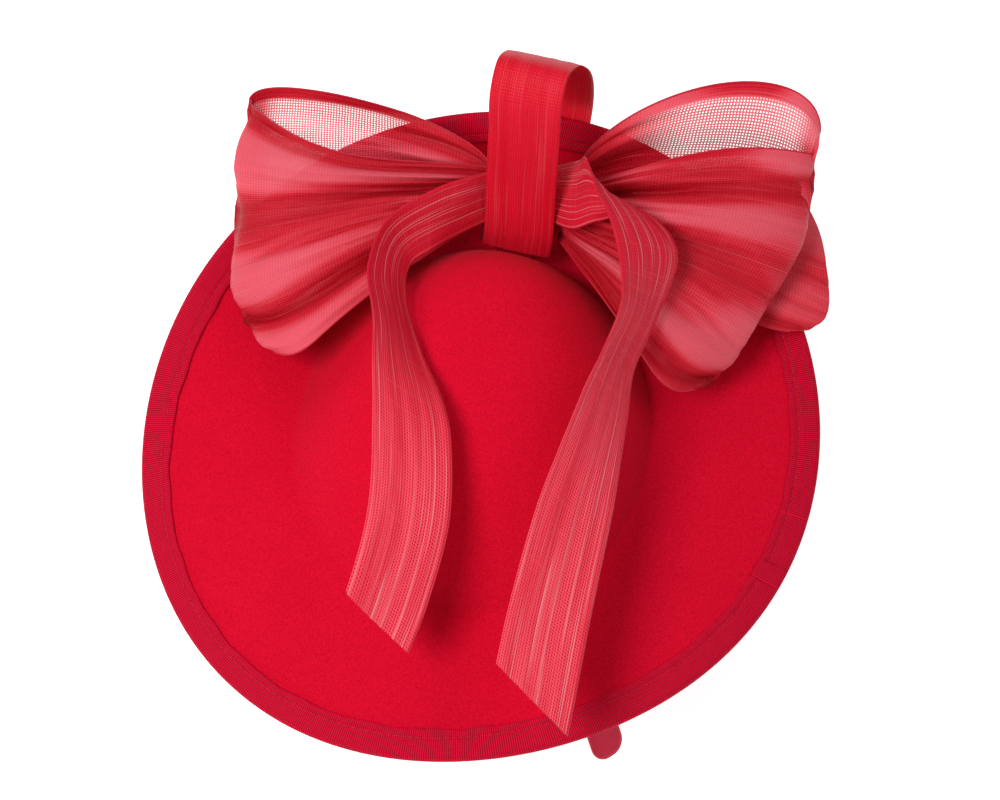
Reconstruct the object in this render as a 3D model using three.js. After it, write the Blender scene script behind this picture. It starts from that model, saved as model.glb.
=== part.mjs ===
// A felt plate fascinator: a round wired plate with a domed crown, a sheer bow, a standing loop and
// two tails, sewn to a satin headband. Millimetres, +Z up. The origin is the headband's inner apex.
import * as THREE from 'three';
import { mergeVertices } from 'three/addons/utils/BufferGeometryUtils.js';

// ---- driving dimensions ----
const GAP = 0.3; // clearance between neighbouring pieces

// where the hat's own centre lies, seen from the headband's inner apex
const HAT_AT = new THREE.Vector3(6, 14, 15.4);

const PLATE_RADIUS = 137.5;
const PLATE_OVAL = 4.5; // the plan is this much longer on one diagonal, and shorter on the other
const FELT_THICKNESS = 2.4;
const PLATE_SEGMENTS = 72;

const CROWN_CENTRE = [-4, -1];
const CROWN_HALF = [71.5, 76.5]; // half width and half length where the crown meets the plate
const CROWN_HEIGHT = 47;
const CROWN_LEAN = 12; // the top sits this far behind the base's centre

const BINDING_WIDTH = 13; // each side of a 26 mm ribbon folded in half
const BINDING_THICKNESS = 0.7;
const BINDING_EASE = 0.5; // between the felt's face and the ribbon
const EDGE_STRIP = 16; // the plate's outermost strip, a little wider than the binding
const WIRE_RADIUS = 0.6;
const WIRE_INSET = 1.9; // from the plate's outline to the wire's centre
const JOINER_ANGLE = 200; // degrees round the plate
const JOINER_LENGTH = 16;
const JOINER_INNER = WIRE_RADIUS + 0.2; // radii of the joiner's bore and outside
const JOINER_OUTER = JOINER_INNER + 0.25;
const JOIN_ANGLE = -12; // degrees round the plate
const JOIN_LENGTH = 9;

const BASE_THICKNESS = 2;
const BASE_LAP = 3; // how far the inner base passes the crown's edge
const BASE_TOP = -2.2;

const SHEER_THICKNESS = 1.2; // bow loops, pleats included
const KNOT_SPREAD = 1.6; // half the distance between a loop's two layers at the knot
const STRIP_THICKNESS = 1.1; // narrow double strips

const WRAP_CENTRE = [-6, 91, 29]; // the wrap round the bow's middle
const WRAP_WIDTH = 30;
const WRAP_HALF_LONG = 21;
const WRAP_HALF_SHORT = 10;
const WRAP_TILT = 65; // degrees that its long side stands up from level
const WRAP_THICKNESS = 1.2;

const BAND_TURN = -42; // degrees, the way the band's front leg points
const BAND_TILT = 28; // degrees that the front leg swings up and out
const BAND_RADIUS = 68; // inner radius of the arch
const BAND_LEG = 42; // straight leg below the arch, up to its round tip
const BAND_TURN_DOWN = 88; // degrees of arch on each side of the apex
const BAND_WIDTH = 15;
const CORE_WIDTH = 12.4;
const CORE_THICKNESS = 1.4;
const SLEEVE_THICKNESS = 0.5;
const BAND_THICKNESS = CORE_THICKNESS + 2 * (GAP + SLEEVE_THICKNESS);
const TIP_LENGTH = 9;
const TIP_STRAIGHT = 1.5; // before its rounding starts
const FRONT_HINGE = 62; // degrees round the arch
const BACK_HINGE = -16;
const HINGE_GAP_TURN = 0.85; // degrees: about 1 mm on each side of a hinge
const FACET_HALF = 2; // degrees: half of one facet of the arch, with one facet centred on the apex

const THREAD_RADIUS = 0.4;
const BAND_TACKS = [14, 28, 42]; // degrees round the arch
const BOW_TACK = { y: 82, low: 2.5, high: 9 }; // from the felt up to the wrap
const LOOP_TACK = { y: 121, low: 5.2, high: 13 }; // from the felt up to the standing loop's end

const DEG = Math.PI / 180;

// ---- helpers ----

function vec(x, y, z) {
  return new THREE.Vector3(x, y, z);
}

// six times the volume that the faces enclose, negative where they point inwards
function signedVolume(geometry) {
  const corner = (k) => vec().fromBufferAttribute(geometry.attributes.position, geometry.index.array[k]);
  let sum = 0;
  for (let i = 0; i < geometry.index.count; i += 3) {
    sum += corner(i).dot(corner(i + 1).cross(corner(i + 2)));
  }
  return sum;
}

// a closed body from its corners and triangles, with its faces turned out
function solidFrom(positions, indices) {
  const raw = new THREE.BufferGeometry();
  raw.setAttribute('position', new THREE.Float32BufferAttribute(positions, 3));
  raw.setIndex(indices);
  const merged = mergeVertices(raw, 1e-4);
  const source = merged.index.array;
  const kept = [];
  for (let i = 0; i < source.length; i += 3) {
    const [a, b, c] = [source[i], source[i + 1], source[i + 2]];
    if (a !== b && b !== c && c !== a) {
      kept.push(a, b, c);
    }
  }
  merged.setIndex(kept);
  if (signedVolume(merged) < 0) {
    merged.setIndex(kept.reverse());
  }
  merged.computeVertexNormals();
  return merged;
}

// A closed sheet of even thickness round a mid surface, surface(u, v) with u and v from 0 to 1.
// wrapU joins u = 0 to u = 1.
function sheetSolid(surface, stepsU, stepsV, thickness, wrapU = false) {
  const columns = wrapU ? stepsU : stepsU + 1;
  const rows = stepsV + 1;
  const mid = [];
  for (let i = 0; i < columns; i += 1) {
    for (let j = 0; j < rows; j += 1) {
      mid.push(surface(i / stepsU, j / stepsV));
    }
  }
  const at = (i, j) => (i % columns) * rows + j;
  const quads = [];
  for (let i = 0; i < stepsU; i += 1) {
    for (let j = 0; j < stepsV; j += 1) {
      quads.push([at(i, j), at(i + 1, j), at(i + 1, j + 1), at(i, j + 1)]);
    }
  }
  const key = (p) => p.toArray().map((x) => Math.round(x * 1000)).join();
  const normals = new Map(mid.map((p) => [key(p), vec(0, 0, 0)]));
  for (const corners of quads) {
    const [a, b, c, d] = corners.map((k) => mid[k]);
    const facing = c.clone().sub(a).cross(d.clone().sub(b));
    corners.forEach((k) => normals.get(key(mid[k])).add(facing));
  }
  const positions = [];
  for (const side of [0.5, -0.5]) {
    for (const point of mid) {
      const normal = normals.get(key(point)).clone().normalize();
      positions.push(...point.clone().addScaledVector(normal, side * thickness).toArray());
    }
  }
  const under = mid.length;
  const indices = [];
  for (const [a, b, c, d] of quads) {
    indices.push(a, b, c, a, c, d);
    indices.push(under + a, under + c, under + b, under + a, under + d, under + c);
  }
  const closeEdge = (a, b) => indices.push(a, under + a, under + b, a, under + b, b);
  for (let i = 0; i < stepsU; i += 1) {
    closeEdge(at(i, 0), at(i + 1, 0));
    closeEdge(at(i + 1, stepsV), at(i, stepsV));
  }
  if (!wrapU) {
    for (let j = 0; j < stepsV; j += 1) {
      closeEdge(at(0, j + 1), at(0, j));
      closeEdge(at(stepsU, j), at(stepsU, j + 1));
    }
  }
  return solidFrom(positions, indices);
}

// A closed solid swept through sections, each an array of the same number of points.
// closed joins the last section to the first; otherwise both ends are capped as fans.
function sweptSolid(sections, closed = false) {
  const count = sections[0].length;
  const positions = sections.flat().flatMap((p) => p.toArray());
  const indices = [];
  const spans = closed ? sections.length : sections.length - 1;
  for (let i = 0; i < spans; i += 1) {
    const here = i * count;
    const next = ((i + 1) % sections.length) * count;
    for (let j = 0; j < count; j += 1) {
      const k = (j + 1) % count;
      indices.push(here + j, here + k, next + k, here + j, next + k, next + j);
    }
  }
  if (!closed) {
    const last = (sections.length - 1) * count;
    for (let j = 1; j < count - 1; j += 1) {
      indices.push(0, j + 1, j, last, last + j, last + j + 1);
    }
  }
  return solidFrom(positions, indices);
}

function smoothCurve(points) {
  return new THREE.CatmullRomCurve3(points.map((p) => vec(...p)), false, 'centripetal');
}

// ---- the felt plate and crown ----

function plateRadius(angle) {
  return PLATE_RADIUS + PLATE_OVAL * Math.sin(2 * angle);
}

// height of the plate's edge: the back is raised, and the front and front left droop
function edgeHeight(angle) {
  return 25 * Math.sin(angle) - 5.5 * Math.cos(2 * angle) - 8 * Math.sin(2 * angle)
    + 1.5 * Math.sin(3 * angle) - 4.3 * Math.cos(3 * angle);
}

function crownEdge(angle) {
  const c = Math.cos(angle);
  const s = Math.sin(angle);
  const radius = (Math.abs(c) ** 2.2 + Math.abs(s) ** 2.2) ** (-1 / 2.2);
  return vec(CROWN_CENTRE[0] + CROWN_HALF[0] * radius * c, CROWN_CENTRE[1] + CROWN_HALF[1] * radius * s, 0);
}

// share runs from 0 at the crown's top to 1 where it meets the plate
function crownPoint(angle, share) {
  const backness = Math.max(0, Math.sin(angle)) ** 1.5;
  const roundness = 1.05 - 0.45 * backness;
  const rise = (1 - share ** 2.5) ** roundness;
  const edge = crownEdge(angle);
  const x = CROWN_CENTRE[0] + (edge.x - CROWN_CENTRE[0]) * share;
  const y = CROWN_CENTRE[1] + (edge.y - CROWN_CENTRE[1]) * share + CROWN_LEAN * rise;
  return vec(x, y, CROWN_HEIGHT * rise);
}

function plateOutline(angle) {
  return vec(plateRadius(angle) * Math.cos(angle), plateRadius(angle) * Math.sin(angle), 0);
}

// share runs from 0 at the crown's edge to 1 at the plate's outline
function platePoint(angle, share) {
  const point = crownEdge(angle).lerp(plateOutline(angle), share);
  const backness = (1 + Math.sin(angle)) / 2;
  point.z = edgeHeight(angle) * share ** (1.3 + 0.6 * backness);
  return point;
}

// the plate is straight in section over its bound edge; this is the frame of that strip:
// out along the felt, up from it, with edge on the plate's outline
function edgeFrame(angle) {
  const edge = platePoint(angle, 1);
  const width = crownEdge(angle).distanceTo(plateOutline(angle));
  const strip = 1 - EDGE_STRIP / width;
  const inside = platePoint(angle, strip);
  const out = edge.clone().sub(inside).normalize();
  const along = platePoint(angle + 0.02, 1).sub(platePoint(angle - 0.02, 1)).normalize();
  const up = out.clone().cross(along).normalize();
  return { edge, inside, strip, out, up };
}

const CROWN_ROWS = 9;
const BRIM_ROWS = 6;
const FELT_INSET = WIRE_INSET + JOINER_OUTER + GAP;

function feltBody() {
  const rows = CROWN_ROWS + BRIM_ROWS;
  const surface = (u, v) => {
    const angle = u * 2 * Math.PI;
    const row = Math.round(v * rows);
    if (row === 0) {
      return vec(CROWN_CENTRE[0], CROWN_CENTRE[1] + CROWN_LEAN, CROWN_HEIGHT);
    }
    if (row <= CROWN_ROWS) {
      const share = Math.sin((row / CROWN_ROWS) * Math.PI / 2);
      return crownPoint(angle, share);
    }
    const { edge, strip, out } = edgeFrame(angle);
    if (row === rows) {
      return edge.addScaledVector(out, -FELT_INSET);
    }
    return platePoint(angle, (strip * (row - CROWN_ROWS)) / (BRIM_ROWS - 1));
  };
  return sheetSolid(surface, PLATE_SEGMENTS, rows, FELT_THICKNESS, true);
}

// section points (x out from the edge, y up from the felt's middle) placed at one angle
function edgeSection(section, angle) {
  const { edge, out, up } = edgeFrame(angle);
  return section.map(([x, y]) => edge.clone().addScaledVector(out, x).addScaledVector(up, y));
}

// a ring of such sections round the plate
function edgeRing(section, fromAngle = 0, toAngle = 2 * Math.PI, steps = PLATE_SEGMENTS) {
  const closed = toAngle - fromAngle > 6.28;
  const sections = [];
  for (let i = 0; i < (closed ? steps : steps + 1); i += 1) {
    sections.push(edgeSection(section, fromAngle + ((toAngle - fromAngle) * i) / steps));
  }
  return sweptSolid(sections, closed);
}

function circleSection(radius, sides, x, y) {
  const points = [];
  for (let i = 0; i < sides; i += 1) {
    const turn = (i / sides) * 2 * Math.PI;
    points.push([x + radius * Math.cos(turn), y + radius * Math.sin(turn)]);
  }
  return points;
}

// the folded ribbon: down its inside, round the fold, and back
function bindingSection() {
  const inner = FELT_THICKNESS / 2 + BINDING_EASE;
  const outer = inner + BINDING_THICKNESS;
  const fold = -outer;
  const folded = (reach) => {
    const points = [];
    for (let i = 0; i <= 4; i += 1) {
      const turn = (-90 + 45 * i) * DEG;
      points.push([fold + reach * Math.cos(turn), reach * Math.sin(turn)]);
    }
    return points;
  };
  return [[-BINDING_WIDTH, -outer], ...folded(outer), [-BINDING_WIDTH, outer],
    [-BINDING_WIDTH, inner], ...folded(inner).reverse(), [-BINDING_WIDTH, -inner]];
}

function bindingJoin() {
  const base = FELT_THICKNESS / 2 + BINDING_EASE + BINDING_THICKNESS + GAP;
  const top = base + BINDING_THICKNESS;
  const half = JOIN_LENGTH / 2 / PLATE_RADIUS;
  const middle = JOIN_ANGLE * DEG;
  const section = [[-BINDING_WIDTH, base], [-2, base], [-2, top], [-BINDING_WIDTH, top]];
  return edgeRing(section, middle - half, middle + half, 3);
}

// a short open-ended tube that holds the wire's two ends together
function wireJoiner() {
  const middle = JOINER_ANGLE * DEG;
  const half = JOINER_LENGTH / 2 / PLATE_RADIUS;
  const sections = (radius) => {
    const outline = circleSection(radius, 6, -WIRE_INSET, 0);
    return [-1, -0.5, 0, 0.5, 1].map((share) => edgeSection(outline, middle + share * half));
  };
  return sweptSolid([...sections(JOINER_OUTER), ...sections(JOINER_INNER).reverse()], true);
}

function innerBase() {
  const outline = new THREE.Shape();
  for (let i = 0; i < PLATE_SEGMENTS; i += 1) {
    const edge = crownEdge((i / PLATE_SEGMENTS) * 2 * Math.PI);
    const centre = vec(CROWN_CENTRE[0], CROWN_CENTRE[1], 0);
    const out = edge.clone().sub(centre);
    const point = centre.addScaledVector(out, 1 + BASE_LAP / out.length());
    if (i === 0) {
      outline.moveTo(point.x, point.y);
    } else {
      outline.lineTo(point.x, point.y);
    }
  }
  const shape = new THREE.ExtrudeGeometry(outline, { depth: BASE_THICKNESS, bevelEnabled: false });
  shape.translate(0, 0, BASE_TOP - BASE_THICKNESS);
  return shape;
}

// ---- the bow ----

// A loop of wide ribbon. knot and outer are lines across the ribbon, from its top edge to its bottom
// edge; the front layer bulges along front, the back layer along back, and the back layer's top edge
// is thrown out along crest. drape lifts the bottom edge where it passes over the crown. A fold below 1
// makes the outer fold blunter.
function bowLoop({ knot, outer, front, back, crest, drape, fold }) {
  const knotLine = smoothCurve(knot);
  const outerLine = smoothCurve(outer);
  return (u, v) => {
    const along = (1 - Math.cos(2 * Math.PI * u)) / 2;
    const point = knotLine.getPoint(v).lerp(outerLine.getPoint(v), along);
    const swing = Math.sin(2 * Math.PI * u);
    const depth = Math.sign(swing) * Math.abs(swing) ** fold;
    const slack = 0.35 + 0.65 * Math.sin(Math.PI * v);
    point.addScaledVector(vec(...front).normalize(), Math.cos(Math.PI * u) * KNOT_SPREAD);
    if (u < 0.5) {
      point.addScaledVector(vec(...front), depth * slack);
    } else {
      point.addScaledVector(vec(...back), -depth * slack);
      point.addScaledVector(vec(...crest), -depth * (1 - v) ** 2);
    }
    point.addScaledVector(vec(...drape), Math.sin(Math.PI * along) * v * v);
    return point;
  };
}

const LEFT_LOOP = {
  knot: [[-22, 97, 45], [-22, 92, 32], [-22, 85, 20]],
  outer: [[-123, 95, 55], [-120, 60, 33], [-112, 31, 18], [-83, 4, 14]],
  front: [0, -6, 12],
  back: [0, 7, -10],
  crest: [-6, 9, 11],
  drape: [0, -2, 22],
  fold: 0.85,
};
const RIGHT_LOOP = {
  knot: [[10.5, 96, 45], [10.5, 91, 33], [10.5, 85, 22]],
  outer: [[105, 133, 52], [109, 98, 41], [95, 60, 23], [80, 34, 15]],
  front: [0, -6, 12],
  back: [0, 5, -5],
  crest: [4, 24, 32],
  drape: [0, -2, 14],
  fold: 0.85,
};
const RIGHT_BACK_LOOP = {
  knot: [[10.5, 106, 33], [10.5, 104, 26], [10.5, 102, 19]],
  outer: [[95, 139, 32], [117, 109, 26], [126, 82, 19], [122, 60, 15]],
  front: [0, -1.4, 2.6],
  back: [0, 1.2, -1.8],
  crest: [0, 0, 0],
  drape: [0, 0, 0],
  fold: 0.5,
};

function wrapOutline(halfLong, halfShort, steps = 24) {
  const points = [];
  const tilt = WRAP_TILT * DEG;
  for (let i = 0; i < steps; i += 1) {
    const turn = (i / steps) * 2 * Math.PI;
    const long = halfLong * Math.cos(turn);
    const short = halfShort * Math.sin(turn);
    points.push([
      long * Math.cos(tilt) - short * Math.sin(tilt),
      long * Math.sin(tilt) + short * Math.cos(tilt),
    ]);
  }
  return points;
}

function wrapSection(x, halfLong, halfShort) {
  return wrapOutline(halfLong, halfShort).map(([y, z]) => vec(x, WRAP_CENTRE[1] + y, WRAP_CENTRE[2] + z));
}

function centreWrap() {
  const left = WRAP_CENTRE[0] - WRAP_WIDTH / 2;
  const right = WRAP_CENTRE[0] + WRAP_WIDTH / 2;
  const inner = (x) => wrapSection(x, WRAP_HALF_LONG - WRAP_THICKNESS, WRAP_HALF_SHORT - WRAP_THICKNESS);
  const outer = (x) => wrapSection(x, WRAP_HALF_LONG, WRAP_HALF_SHORT);
  return sweptSolid([outer(left), outer(right), inner(right), inner(left)], true);
}

function bowKnot() {
  const inside = WRAP_THICKNESS + GAP;
  const sections = [];
  for (const [share, swell] of [[-1, 0.8], [-0.6, 0.95], [0, 1], [0.6, 0.95], [1, 0.8]]) {
    const x = WRAP_CENTRE[0] + share * (WRAP_WIDTH / 2 - 0.5);
    sections.push(wrapSection(x, (WRAP_HALF_LONG - inside) * swell, (WRAP_HALF_SHORT - inside) * swell));
  }
  return sweptSolid(sections);
}

// ---- strips: a path of [point, half width vector] pairs ----

function strip(stations) {
  const middle = smoothCurve(stations.map(([point]) => point));
  const across = smoothCurve(stations.map(([, half]) => half));
  return (u, v) => middle.getPoint(u).addScaledVector(across.getPoint(u), 2 * v - 1);
}

const LOOP_HALF = [14.5, 0, 0];
const STANDING_LOOP = [
  [-5, 77, 18], [-5, 78, 34], [-7, 84, 58], [-9, 92, 84], [-11, 100, 102], [-11, 110, 108], [-9, 121, 100],
  [-6, 131, 82], [-4, 139, 60], [-3, 144, 36], [-3, 144, 17], [-3, 134, 6], [-3, 118, 4],
].map((point) => [point, LOOP_HALF]);
const LOOP_END = STANDING_LOOP[STANDING_LOOP.length - 1][0];
const LEFT_TAIL = [
  [[-24, 77, 45], [0, -5, -12]], [[-36, 67, 51], [2, -8, -9]], [[-49, 50, 54], [6, -5, -9]],
  [[-49, 32, 55], [8, -1, -9]], [[-38, 4, 60], [10.5, 1, -9]], [[-24, -30, 59], [15, 3, -3]],
  [[-17, -62, 49], [15.8, 3, -2]], [[-18, -92, 34], [16, 3, -2]], [[-21, -111, 25], [16, 3, -2]],
];
const RIGHT_TAIL = [
  [[11.5, 75, 52], [0, -4, -12]], [[17, 81, 68], [6, 0, -12]], [[34, 81, 72], [10, 3, -9]],
  [[48, 66, 69], [12, 5, -8]], [[51, 42, 63], [8, 4, -12]], [[48, 20, 57], [7, 3, -12]],
  [[47, 0, 53], [9.5, 2, -11]], [[45, -42, 48], [14.5, 3, -6]], [[45, -86, 40], [16, 4, -2]],
  [[47, -132, 29], [16, 5, -2]],
];
const TAIL_FOLD_STATIONS = 4; // the first stations belong to the fold beside the knot
const FOLD_GAP_SHARE = 0.004; // half the gap between fold and tail, as a share of the strip's length
const TAIL_CUT = { left: 26, right: 16 }; // the ends are cut slanting: one edge is this much longer

// one part of a strip, between two shares of its length; the end may be cut slanting
function stripPart(stations, from, to, steps, cut = 0) {
  const whole = strip(stations);
  const length = smoothCurve(stations.map(([point]) => point)).getLength();
  const surface = (u, v) => {
    const slant = (cut / length) * (v - 0.5) * u;
    return whole(Math.min(1, from + (to - from - cut / length / 2) * u + slant), v);
  };
  return sheetSolid(surface, steps, 4, STRIP_THICKNESS);
}

// ---- the headband, in its own upright plane: x along the arch's span, z up, apex at the origin ----

// a point of the band's centre line, its direction and its outward normal, at a distance beyond the
// arch's end when angle passes BAND_TURN_DOWN
function bandStation(angleDegrees, beyond = 0, lift = 0) {
  const turn = angleDegrees * DEG;
  const radius = BAND_RADIUS + lift;
  const sign = Math.sign(angleDegrees) || 1;
  const outward = vec(Math.sin(turn), 0, Math.cos(turn));
  const along = vec(Math.cos(turn), 0, -Math.sin(turn)).multiplyScalar(sign);
  const apexDrop = BAND_RADIUS * Math.cos(FACET_HALF * DEG); // puts the apex facet at height 0
  const point = vec(radius * Math.sin(turn), 0, radius * Math.cos(turn) - apexDrop);
  point.addScaledVector(along, beyond);
  return { point, along, outward };
}

// [angle, distance beyond the arch] pairs, with facets laid out evenly on both sides of the apex
function bandStations(fromAngle, toAngle) {
  const low = Math.min(fromAngle, toAngle);
  const high = Math.max(fromAngle, toAngle);
  const angles = [low];
  for (let angle = -180 + FACET_HALF; angle < high - FACET_HALF / 2; angle += 2 * FACET_HALF) {
    if (angle > low + FACET_HALF / 2) {
      angles.push(angle);
    }
  }
  angles.push(high);
  const ordered = fromAngle < toAngle ? angles : angles.reverse();
  return ordered.map((angle) => [angle, 0]);
}

function legStations(hinge, sign, length) {
  const stations = bandStations(hinge + sign * HINGE_GAP_TURN, sign * BAND_TURN_DOWN);
  for (const third of [1, 2, 3]) {
    stations.push([sign * BAND_TURN_DOWN, (length * third) / 3]);
  }
  return stations;
}

function rectangle(width, inside, outside) {
  return [[-width / 2, inside], [width / 2, inside], [width / 2, outside], [-width / 2, outside]];
}

function bandSections(stations, outline) {
  return stations.map(([angle, beyond]) => outline.map(([across, lift]) => {
    const { point } = bandStation(angle, beyond, lift);
    return point.add(vec(0, across, 0));
  }));
}

function bandSolid(stations, outline) {
  return sweptSolid(bandSections(stations, outline));
}

const CORE_OUTLINE = rectangle(CORE_WIDTH, SLEEVE_THICKNESS + GAP, SLEEVE_THICKNESS + GAP + CORE_THICKNESS);
const SLEEVE_OUTER = rectangle(BAND_WIDTH, 0, BAND_THICKNESS);
const SLEEVE_BORE = BAND_WIDTH - 2 * SLEEVE_THICKNESS;
const SLEEVE_INNER = rectangle(SLEEVE_BORE, SLEEVE_THICKNESS, BAND_THICKNESS - SLEEVE_THICKNESS);

// an open-ended flat tube
function sleeveSolid(stations) {
  const outer = bandSections(stations, SLEEVE_OUTER);
  const inner = bandSections(stations, SLEEVE_INNER);
  return sweptSolid([...outer, ...inner.reverse()], true);
}

function bandTip(sign) {
  const start = BAND_LEG + GAP;
  const profile = [];
  const steps = 8;
  for (let i = 0; i <= steps; i += 1) {
    const turn = (-90 + (180 * i) / steps) * DEG;
    const beyond = start + TIP_STRAIGHT + (TIP_LENGTH - TIP_STRAIGHT) * Math.cos(turn);
    profile.push([(BAND_WIDTH / 2) * Math.sin(turn), beyond]);
  }
  profile.push([BAND_WIDTH / 2, start], [-BAND_WIDTH / 2, start]);
  const layer = (lift) => profile.map(([across, beyond]) => {
    const { point } = bandStation(sign * BAND_TURN_DOWN, beyond, lift);
    return point.add(vec(0, across, 0));
  });
  return sweptSolid([layer(0), layer(BAND_THICKNESS)]);
}

// ---- thread tacks ----

// an upright bar of thread between two heights
function threadBar(x, { y, low, high }) {
  const bar = new THREE.CylinderGeometry(THREAD_RADIUS, THREAD_RADIUS, high - low, 6);
  bar.rotateX(Math.PI / 2);
  bar.translate(x, y, (low + high) / 2);
  return bar;
}

// a stitch that comes down beside the band, crosses its inner face and goes up again
function bandTack(angleDegrees) {
  const side = BAND_WIDTH / 2 + GAP + THREAD_RADIUS;
  const low = -GAP - THREAD_RADIUS;
  const corners = [[-side, BAND_THICKNESS], [-side, low], [side, low], [side, BAND_THICKNESS]];
  const { along, outward } = bandStation(angleDegrees);
  const sections = corners.map(([across, lift], i) => {
    const centre = bandStation(angleDegrees, 0, lift).point.add(vec(0, across, 0));
    const mitre = vec(0, -Math.sign(across), 0);
    if (i === 1 || i === 2) {
      mitre.add(outward);
    }
    return [[-1, -1], [1, -1], [1, 1], [-1, 1]].map(([s, t]) => centre.clone()
      .addScaledVector(along, s * THREAD_RADIUS).addScaledVector(mitre, t * THREAD_RADIUS));
  });
  return sweptSolid(sections);
}

// ---- materials ----

function material(color, roughness) {
  return new THREE.MeshStandardMaterial({ color, roughness, metalness: 0 });
}

const FELT = material(0xc4081f, 0.95);
const GROSGRAIN = material(0xc20a34, 0.6);
const SHEER = material(0xdd3a46, 0.5);
const SATIN = material(0xb8103a, 0.35);
const THREAD = material(0xb0081e, 0.7);
const SPRING_PLASTIC = material(0xe8e4dc, 0.5);
const WIRE = new THREE.MeshStandardMaterial({ color: 0xa8a8ac, roughness: 0.35, metalness: 0.9 });

// ---- assembly ----

const fascinator = new THREE.Group();
const hat = new THREE.Group();
hat.position.copy(HAT_AT);
const headband = new THREE.Group();
headband.rotation.set(0, -BAND_TILT * DEG, BAND_TURN * DEG, 'ZYX');
fascinator.add(hat, headband);

function add(parent, name, geometry, look) {
  const mesh = new THREE.Mesh(geometry, look);
  mesh.name = name;
  parent.add(mesh);
}

add(hat, 'felt_body', feltBody(), FELT);
add(hat, 'edge_wire', edgeRing(circleSection(WIRE_RADIUS, 6, -WIRE_INSET, 0)), WIRE);
add(hat, 'wire_joiner', wireJoiner(), WIRE);
add(hat, 'brim_binding', edgeRing(bindingSection()), GROSGRAIN);
add(hat, 'binding_join', bindingJoin(), GROSGRAIN);
add(hat, 'inner_base', innerBase(), FELT);

add(hat, 'left_loop', sheetSolid(bowLoop(LEFT_LOOP), 22, 6, SHEER_THICKNESS), SHEER);
add(hat, 'right_loop', sheetSolid(bowLoop(RIGHT_LOOP), 22, 6, SHEER_THICKNESS), SHEER);
add(hat, 'right_back_loop', sheetSolid(bowLoop(RIGHT_BACK_LOOP), 20, 5, SHEER_THICKNESS), SHEER);
add(hat, 'bow_knot', bowKnot(), SHEER);
add(hat, 'centre_wrap', centreWrap(), SHEER);
add(hat, 'standing_loop', stripPart(STANDING_LOOP, 0, 1, 36), SHEER);

for (const [side, stations] of [['left', LEFT_TAIL], ['right', RIGHT_TAIL]]) {
  const fold = (TAIL_FOLD_STATIONS - 1) / (stations.length - 1);
  add(hat, `${side}_tail_fold`, stripPart(stations, 0, fold - FOLD_GAP_SHARE, 10), SHEER);
  add(hat, `${side}_tail`, stripPart(stations, fold + FOLD_GAP_SHARE, 1, 18, TAIL_CUT[side]), SHEER);
}

const centre = bandStations(BACK_HINGE + HINGE_GAP_TURN, FRONT_HINGE - HINGE_GAP_TURN);
const frontLeg = legStations(FRONT_HINGE, 1, BAND_LEG);
const backLeg = legStations(BACK_HINGE, -1, BAND_LEG);
for (const [place, stations] of [['centre', centre], ['front', frontLeg], ['back', backLeg]]) {
  add(headband, `headband_core_${place}`, bandSolid(stations, CORE_OUTLINE), SPRING_PLASTIC);
  add(headband, `headband_sleeve_${place}`, sleeveSolid(stations), SATIN);
}
add(headband, 'headband_tip_front', bandTip(1), SATIN);
add(headband, 'headband_tip_back', bandTip(-1), SATIN);

BAND_TACKS.forEach((angle, i) => add(headband, `headband_tack_${i + 1}`, bandTack(angle), THREAD));
for (const [i, side] of [[1, -1], [2, 1]]) {
  const bowTackX = WRAP_CENTRE[0] + side * WRAP_WIDTH / 4;
  const loopTackX = LOOP_END[0] + side * LOOP_HALF[0] / 2;
  add(hat, `bow_tack_${i}`, threadBar(bowTackX, BOW_TACK), THREAD);
  add(hat, `loop_tack_${i}`, threadBar(loopTackX, LOOP_TACK), THREAD);
}

export default fascinator;
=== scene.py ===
import math

import bpy
import numpy as np
from mathutils import Matrix, Vector


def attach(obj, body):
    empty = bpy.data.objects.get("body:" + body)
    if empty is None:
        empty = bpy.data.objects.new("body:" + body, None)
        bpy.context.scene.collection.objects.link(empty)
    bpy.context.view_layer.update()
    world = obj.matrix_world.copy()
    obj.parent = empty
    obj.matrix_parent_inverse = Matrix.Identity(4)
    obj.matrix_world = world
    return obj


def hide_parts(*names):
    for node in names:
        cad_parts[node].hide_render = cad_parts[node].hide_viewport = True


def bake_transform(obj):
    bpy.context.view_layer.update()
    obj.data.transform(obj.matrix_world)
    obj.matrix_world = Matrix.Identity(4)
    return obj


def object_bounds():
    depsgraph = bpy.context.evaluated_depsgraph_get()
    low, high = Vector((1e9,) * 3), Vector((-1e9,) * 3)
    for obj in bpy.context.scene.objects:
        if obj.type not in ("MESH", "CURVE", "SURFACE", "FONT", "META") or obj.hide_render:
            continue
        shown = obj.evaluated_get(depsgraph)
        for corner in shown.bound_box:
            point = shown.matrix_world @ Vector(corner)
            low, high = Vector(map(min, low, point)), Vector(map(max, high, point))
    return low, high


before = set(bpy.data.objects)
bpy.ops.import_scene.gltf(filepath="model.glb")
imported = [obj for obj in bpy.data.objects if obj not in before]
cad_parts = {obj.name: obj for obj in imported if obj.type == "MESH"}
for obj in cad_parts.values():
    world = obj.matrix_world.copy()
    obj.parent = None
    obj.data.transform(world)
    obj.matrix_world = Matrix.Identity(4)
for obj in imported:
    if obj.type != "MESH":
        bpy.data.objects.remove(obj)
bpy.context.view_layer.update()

TAU = 2 * math.pi
MM = 0.001

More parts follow.
